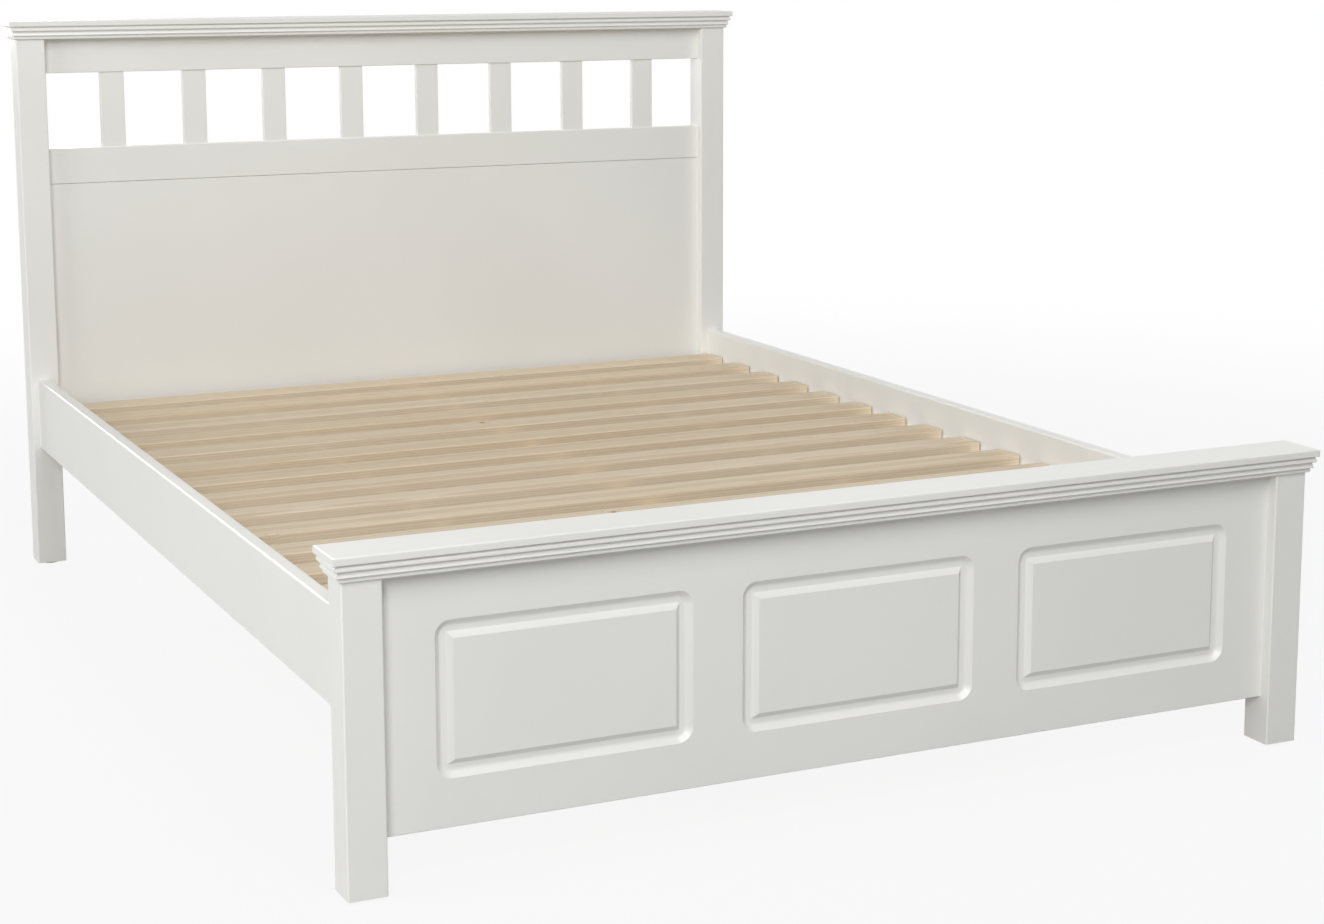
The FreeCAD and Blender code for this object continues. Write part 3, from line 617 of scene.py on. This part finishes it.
# %% [markdown]
# ## Webbing straps
# Two straps run under the slats and keep them from wandering. Each is one band of webbing, a box cut
# into short steps along its length. Where it crosses a slat it lies flat on the wood. Between slats it
# hangs by about a millimetre, a parabola from one slat's edge to the next. Its edges are thinner than
# its middle, as a selvedge is.

# %% Webbing straps
strap_sag = 1.4 * MM
selvedge_share, selvedge_power = 0.55, 6.0
strap_steps_per_slat, strap_columns = 16, 9
slat_count = sum(1 for node in frame["nodes"] if node.startswith("slat_0") or node.startswith("slat_1"))


def strap(side):
    """One strap, in place of its plain solid."""
    node = "slat_strap_" + side
    shape = Shape("strap " + side, {
        "Width": span(node, ACROSS), "Length": span(node, ALONG), "Thickness": span(node, UP),
        "Sag": strap_sag, "Pitch": slat_pitch, "Slat width": span("slat_01", ALONG),
        "First slat": first_slat, "Station": middle(node).x, "Height": middle(node).z,
        "Selvedge": selvedge_share, "Steps": strap_steps_per_slat * slat_count})
    band = shape.node("GeometryNodeMeshCube", {}, {
        "Size": shape.vector(shape.size("Width"), shape.size("Length"), shape.size("Thickness")),
        "Vertices X": strap_columns, "Vertices Y": shape.size("Steps"), "Vertices Z": 2})
    x, y, z = shape.split(shape.node("GeometryNodeInputPosition"))
    cycle = ((y - shape.size("First slat")) / shape.size("Pitch")) % 1.0
    half_gap = (1 - shape.size("Slat width") / shape.size("Pitch")) * 0.5
    hang = (1 - ((cycle - 0.5) / half_gap) ** 2.0).at_least(0.0) * shape.size("Sag")
    edge = abs(x) / (shape.size("Width") * 0.5)
    thin = 1 - (1 - shape.size("Selvedge")) * edge ** selvedge_power
    top = shape.size("Thickness") * 0.5
    place = shape.vector(x + shape.size("Station"), y,
                         top - (top - z) * thin - hang + shape.size("Height"))
    shaped = shape.node("GeometryNodeSetPosition", {}, {"Geometry": band, "Position": place})
    piece = shape.run(shaped, "webbing_strap_" + side, cloth)
    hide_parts(node)
    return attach(piece, "frame")


for side in ("left", "right"):
    strap(side)

# %% [markdown]
# ## Staples
# Two staples fix each strap to each slat. A staple is a bent wire: an open line through four corners,
# with its corners rounded and a flat wire swept along it. One staple is made, then copied to a row of
# points. The legs are sunk in the slat, and only the crown shows on the webbing.

# %% Staples
staple_crown = 10.0 * MM
staple_leg = 5.0 * MM
staple_wire_width, staple_wire_thickness = 1.2 * MM, 0.7 * MM
staple_bend, staple_bend_steps = 1.0 * MM, 3
staple_pair_gap = 24.0 * MM
strap_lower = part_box("slat_strap_left")[0].z


def staples():
    """All the staples of both straps as one piece."""
    shape = Shape("staples", {
        "Crown": staple_crown, "Leg": staple_leg, "Wire width": staple_wire_width,
        "Wire thickness": staple_wire_thickness, "Bend": staple_bend, "Pair gap": staple_pair_gap,
        "Pitch": slat_pitch, "First slat": first_slat, "Station": middle("slat_strap_right").x,
        "Height": strap_lower, "Count": slat_count})
    half = shape.size("Crown") * 0.5
    corners = {"Point 1": shape.vector(0.0 - half, 0.0, shape.size("Leg")),
               "Point 2": shape.vector(0.0 - half, 0.0, 0.0),
               "Point 3": shape.vector(half, 0.0, 0.0),
               "Point 4": shape.vector(half, 0.0, shape.size("Leg"))}
    loop = shape.node("GeometryNodeCurvePrimitiveQuadrilateral", {"mode": "POINTS"}, corners)
    line = shape.node("GeometryNodeSetSplineCyclic", {}, {"Geometry": loop, "Cyclic": False})
    bent = shape.node("GeometryNodeFilletCurve", {"mode": "POLY"}, {
        "Curve": line, "Count": staple_bend_steps, "Radius": shape.size("Bend")})
    wire = shape.node("GeometryNodeCurvePrimitiveQuadrilateral", {}, {
        "Width": shape.size("Wire thickness"), "Height": shape.size("Wire width")})
    staple = shape.node("GeometryNodeCurveToMesh", {}, {
        "Curve": bent, "Profile Curve": wire, "Fill Caps": True})
    rows = []
    for side in (-1, 1):
        for pair in (-0.5, 0.5):
            start = shape.vector(side * shape.size("Station"),
                                 shape.size("First slat") + pair * shape.size("Pair gap"),
                                 shape.size("Height") - shape.size("Wire thickness") * 0.5)
            rows.append(shape.node("GeometryNodeMeshLine", {}, {
                "Count": shape.size("Count"), "Start Location": start,
                "Offset": shape.vector(0.0, shape.size("Pitch"), 0.0)}))
    placed = shape.node("GeometryNodeInstanceOnPoints", {}, {
        "Points": shape.join(rows), "Instance": staple})
    piece = shape.run(placed, "strap_staples", metal)
    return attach(piece, "frame")


staples()

# %% [markdown]
# ## Levelling studs
# Under each centre leg a threaded stud turns in and out to take up an uneven floor. A thread is a
# helix, and a diamond-shaped wire swept along a spiral curve gives its ridge. A plain core fills it,
# and a hexagon collar with eased corners gives the spanner its grip.

# %% Levelling studs
thread_pitch = 1.5 * MM
thread_radius, thread_depth = 5.0 * MM, 0.65 * MM
thread_steps, ridge_corners = 28, 4
core_sides, core_reach_share = 32, 0.9
collar_sides, collar_turn = 6, math.radians(30)
collar_ease, collar_ease_steps = 0.6 * MM, 2
height_digits = 5


def collar_sizes(node):
    """Radius of a stud's collar, and the heights of its two ends."""
    low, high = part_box(node)
    corners = frame["nodes"][node].data.vertices
    heights = sorted({round(corner.co.z, height_digits) for corner in corners})
    return (high.x - low.x) / 2, heights[1], heights[2]


def stud(end):
    """The threaded part of one levelling foot."""
    node = "leveller_stud_" + end
    low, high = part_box(node)
    collar_high = collar_sizes(node)[2]
    shape = Shape("stud " + end, {
        "Radius": thread_radius, "Depth": thread_depth, "Pitch": thread_pitch, "Bottom": low.z,
        "Top": high.z, "Collar top": collar_high, "Station": middle(node).y,
        "Steps": thread_steps, "Sides": core_sides})
    ridge_length = shape.size("Top") - shape.size("Collar top") - shape.size("Pitch")
    helix = shape.node("GeometryNodeCurveSpiral", {}, {
        "Resolution": shape.size("Steps"), "Rotations": ridge_length / shape.size("Pitch"),
        "Start Radius": shape.size("Radius") - shape.size("Depth"),
        "End Radius": shape.size("Radius") - shape.size("Depth"), "Height": ridge_length})
    diamond = shape.node("GeometryNodeCurvePrimitiveCircle", {}, {
        "Resolution": ridge_corners, "Radius": shape.size("Depth")})
    ridge = shape.node("GeometryNodeCurveToMesh", {}, {
        "Curve": helix, "Profile Curve": diamond, "Fill Caps": True})
    ridge_bottom = shape.size("Collar top") + shape.size("Pitch") * 0.5
    start = shape.vector(0.0, shape.size("Station"), ridge_bottom)
    ridge = shape.node("GeometryNodeTransform", {}, {"Geometry": ridge, "Translation": start})
    core_radius = shape.size("Radius") - shape.size("Depth") * core_reach_share
    core = shape.node("GeometryNodeMeshCylinder", {}, {
        "Vertices": shape.size("Sides"), "Radius": core_radius,
        "Depth": shape.size("Top") - shape.size("Bottom")}, "Mesh")
    centre = shape.vector(0.0, shape.size("Station"), (shape.size("Top") + shape.size("Bottom")) * 0.5)
    core = shape.node("GeometryNodeTransform", {}, {"Geometry": core, "Translation": centre})
    piece = shape.run(shape.join([ridge, core]), "levelling_stud_" + end, metal)
    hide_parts(node)
    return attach(piece, "leveller_" + end)


def collar(end):
    """The hexagon collar of one levelling foot."""
    node = "leveller_stud_" + end
    collar_radius, low, high = collar_sizes(node)
    centre = middle(node)
    mesh = bpy.data.meshes.new("levelling_collar_" + end)
    form = bmesh.new()
    bmesh.ops.create_cone(form, cap_ends=True, segments=collar_sides, radius1=collar_radius,
                          radius2=collar_radius, depth=high - low)
    bmesh.ops.rotate(form, verts=form.verts, matrix=Matrix.Rotation(collar_turn, 3, "Z"))
    bmesh.ops.bevel(form, geom=list(form.edges), offset=collar_ease,
                    segments=collar_ease_steps, affect="EDGES")
    bmesh.ops.translate(form, verts=form.verts, vec=(0, centre.y, (low + high) / 2))
    form.to_mesh(mesh)
    form.free()
    piece = bpy.data.objects.new("levelling_collar_" + end, mesh)
    bpy.context.scene.collection.objects.link(piece)
    mesh.materials.append(metal)
    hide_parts(node)
    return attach(piece, "leveller_" + end)


for end in ("foot", "head"):
    stud(end)
for end in ("foot", "head"):
    collar(end)
